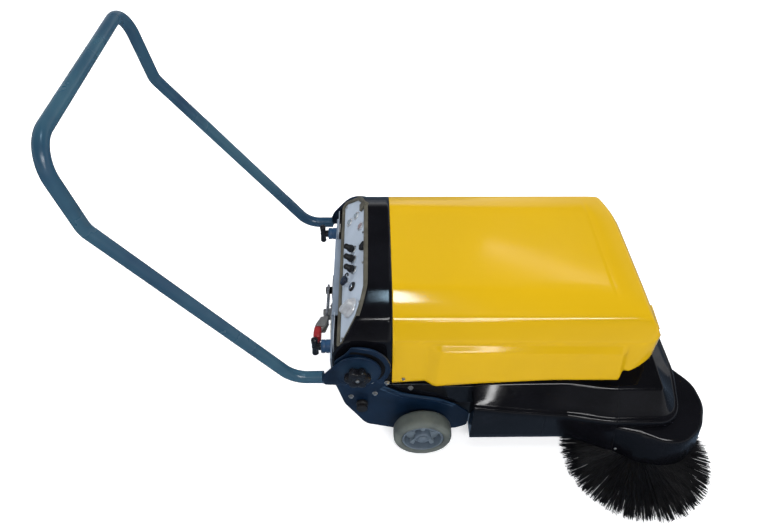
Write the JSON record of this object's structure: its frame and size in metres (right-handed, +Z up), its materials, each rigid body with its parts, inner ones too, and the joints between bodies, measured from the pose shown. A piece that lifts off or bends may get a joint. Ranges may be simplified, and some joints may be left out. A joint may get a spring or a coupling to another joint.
{
  "type": "walk behind sweeper",
  "caption": "Battery walk-behind floor sweeper: push handle, tilting hood, rear hopper, belt-driven main broom, side brush under a corner cover, wheels and caster.",
  "frame": {"origin": "middle of the bounding box at floor level, at rest", "axes": "+X forward, +Y to the machine's left, +Z up"},
  "size_m": [1.5798, 0.961, 1.0039],
  "materials": {
    "base_plastic": "glossy black moulding",
    "hood_paint": "glossy yellow gel coat",
    "blue_paint": "satin blue powder coat",
    "frame_paint": "satin black paint",
    "panel": "satin light blue-grey plate",
    "hopper_face": "satin light blue-grey plate",
    "hopper_plastic": "matt black",
    "steel": "zinc plated steel",
    "chrome": "bright metal",
    "tyre": "greenish grey solid rubber",
    "hub": "blue-grey moulded plastic",
    "dark_plastic": "black moulded plastic",
    "rubber": "black rubber",
    "bristle": "black nylon bristle",
    "grip": "dark red dipped plastic",
    "filter": "pleated filter paper",
    "lamp": "dark tinted lens"
  },
  "bodies": {
    "base": {"base_tub": "base_plastic", "side_brush_cover": "base_plastic", "rear_cowl": "base_plastic", "chassis_frame": "frame_paint", "side_plate_right": "blue_paint", "rubber_stop_right": "rubber", "axle_right": "steel", "side_plate_left": "blue_paint", "rubber_stop_left": "rubber", "axle_left": "steel", "drive_belt": "rubber", "broom_motor": "steel", "side_brush_drive": "dark_plastic", "caster_plate": "steel", "battery": "dark_plastic", "filter_element": "filter", "fan_housing": "dark_plastic", "fan_motor": "steel", "dust_flap": "rubber", "hood_hinge_bar": "steel", "control_panel": "panel", "indicator_lamp_1": "lamp", "indicator_lamp_2": "lamp", "indicator_lamp_3": "lamp", "panel_clip": "rubber"},
    "handle": {"handle_tube": "blue_paint", "handle_plate_right": "blue_paint", "handle_plate_left": "blue_paint"},
    "clamp_knob_right": {"clamp_knob_right": "dark_plastic"},
    "clamp_knob_left": {"clamp_knob_left": "dark_plastic"},
    "wheel_right": {"tyre_right": "tyre", "hub_right": "hub"},
    "wheel_left": {"tyre_left": "tyre", "hub_left": "hub"},
    "caster_fork": {"caster_fork": "steel"},
    "caster_wheel": {"caster_wheel": "tyre"},
    "main_broom": {"broom_core": "dark_plastic", "broom_bristles": "bristle", "broom_pulley": "steel"},
    "motor_pulley": {"motor_pulley": "steel"},
    "side_brush": {"side_brush_disc": "dark_plastic", "side_brush_bristles": "bristle"},
    "impeller": {"impeller": "dark_plastic"},
    "hood": {"hood": "hood_paint"},
    "hopper": {"hopper_bin": "hopper_plastic", "hopper_face": "hopper_face", "latch_base": "steel", "plunger_bush_right": "blue_paint", "plunger_bush_left": "blue_paint"},
    "plunger_right": {"plunger_right": "rubber"},
    "plunger_left": {"plunger_left": "rubber"},
    "latch_lever": {"latch_lever": "steel", "latch_grip": "grip"},
    "latch_hook": {"latch_hook": "chrome"},
    "toggle_switch_1": {"toggle_switch_1": "rubber"},
    "toggle_switch_2": {"toggle_switch_2": "rubber"},
    "toggle_switch_3": {"toggle_switch_3": "rubber"},
    "push_button": {"push_button": "dark_plastic"},
    "key_switch": {"key_switch": "chrome"},
    "main_knob": {"main_knob": "chrome"}
  },
  "joints": [
    {"name": "handle_fold", "type": "hinge", "parent": "base", "child": "handle", "pos_m": [-0.19214, 0.1025, 0.316], "axis": [0, -1, 0], "range_deg": [-115, 0]},
    {"name": "clamp_knob_right_turn", "type": "hinge", "parent": "base", "child": "clamp_knob_right", "pos_m": [-0.19214, -0.2345, 0.316], "axis": [0, -1, 0], "continuous": true},
    {"name": "clamp_knob_left_turn", "type": "hinge", "parent": "base", "child": "clamp_knob_left", "pos_m": [-0.19214, 0.4395, 0.316], "axis": [0, 1, 0], "continuous": true},
    {"name": "wheel_right_spin", "type": "hinge", "parent": "base", "child": "wheel_right", "pos_m": [-0.01814, -0.2455, 0.08], "axis": [0, 1, 0], "continuous": true},
    {"name": "wheel_left_spin", "type": "hinge", "parent": "base", "child": "wheel_left", "pos_m": [-0.01814, 0.4505, 0.08], "axis": [0, 1, 0], "continuous": true},
    {"name": "caster_swivel", "type": "hinge", "parent": "base", "child": "caster_fork", "pos_m": [0.59186, 0.1625, 0.13], "axis": [0, 0, 1], "continuous": true},
    {"name": "caster_spin", "type": "hinge", "parent": "caster_fork", "child": "caster_wheel", "pos_m": [0.56386, 0.1625, 0.045], "axis": [0, 1, 0], "continuous": true},
    {"name": "broom_spin", "type": "hinge", "parent": "base", "child": "main_broom", "pos_m": [0.23186, 0.1025, 0.106], "axis": [0, 1, 0], "continuous": true},
    {"name": "motor_pulley_spin", "type": "hinge", "parent": "base", "child": "motor_pulley", "pos_m": [0.23186, 0.3635, 0.3], "axis": [0, 1, 0], "continuous": true},
    {"name": "side_brush_spin", "type": "hinge", "parent": "base", "child": "side_brush", "pos_m": [0.58186, -0.2725, 0.05], "axis": [0, 0, 1], "continuous": true},
    {"name": "impeller_spin", "type": "hinge", "parent": "base", "child": "impeller", "pos_m": [-0.04814, 0.1025, 0.354], "axis": [0, 0, 1], "continuous": true},
    {"name": "hood_tilt", "type": "hinge", "parent": "base", "child": "hood", "pos_m": [0.59986, 0.1025, 0.285], "axis": [0, 1, 0], "range_deg": [0, 70]},
    {"name": "hopper_slide", "type": "slide", "parent": "base", "child": "hopper", "axis": [-1, 0, 0], "range_m": [0, 0.26]},
    {"name": "plunger_right_pull", "type": "slide", "parent": "hopper", "child": "plunger_right", "axis": [-1, 0, 0], "range_m": [0, 0.012], "stiffness_N_per_m": 800, "springref_m": -0.008},
    {"name": "plunger_left_pull", "type": "slide", "parent": "hopper", "child": "plunger_left", "axis": [-1, 0, 0], "range_m": [0, 0.012], "stiffness_N_per_m": 800, "springref_m": -0.008},
    {"name": "latch_lever_turn", "type": "hinge", "parent": "hopper", "child": "latch_lever", "pos_m": [-0.28214, -0.0155, 0.31], "axis": [0, 0, -1], "range_deg": [0, 90]},
    {"name": "latch_hook_turn", "type": "hinge", "parent": "latch_lever", "child": "latch_hook", "pos_m": [-0.27814, -0.0315, 0.31], "axis": [0, 0, -1], "range_deg": [-90, 0]},
    {"name": "toggle_switch_1_tip", "type": "hinge", "parent": "base", "child": "toggle_switch_1", "pos_m": [-0.21072, 0.1285, 0.42133], "axis": [0, 1, 0], "range_deg": [-12, 12]},
    {"name": "toggle_switch_2_tip", "type": "hinge", "parent": "base", "child": "toggle_switch_2", "pos_m": [-0.2096, 0.0875, 0.42298], "axis": [0, 1, 0], "range_deg": [-12, 12]},
    {"name": "toggle_switch_3_tip", "type": "hinge", "parent": "base", "child": "toggle_switch_3", "pos_m": [-0.20847, 0.0455, 0.42464], "axis": [0, 1, 0], "range_deg": [-12, 12]},
    {"name": "push_button_press", "type": "slide", "parent": "base", "child": "push_button", "axis": [0.8269, 0, -0.5623], "range_m": [0, 0.003], "stiffness_N_per_m": 400, "springref_m": -0.002},
    {"name": "key_turn", "type": "hinge", "parent": "base", "child": "key_switch", "pos_m": [-0.20913, -0.0075, 0.413], "axis": [-0.8269, 0, 0.5623], "range_deg": [-90, 0]},
    {"name": "main_knob_turn", "type": "hinge", "parent": "base", "child": "main_knob", "pos_m": [-0.21251, -0.0785, 0.40803], "axis": [-0.8269, 0, 0.5623], "range_deg": [-90, 0]}
  ],
  "couplings": [
    {"joint": "motor_pulley_spin", "follows": "broom_spin", "ratio": 1.7273},
    {"joint": "latch_hook_turn", "follows": "latch_lever_turn", "ratio": -1}
  ]
}
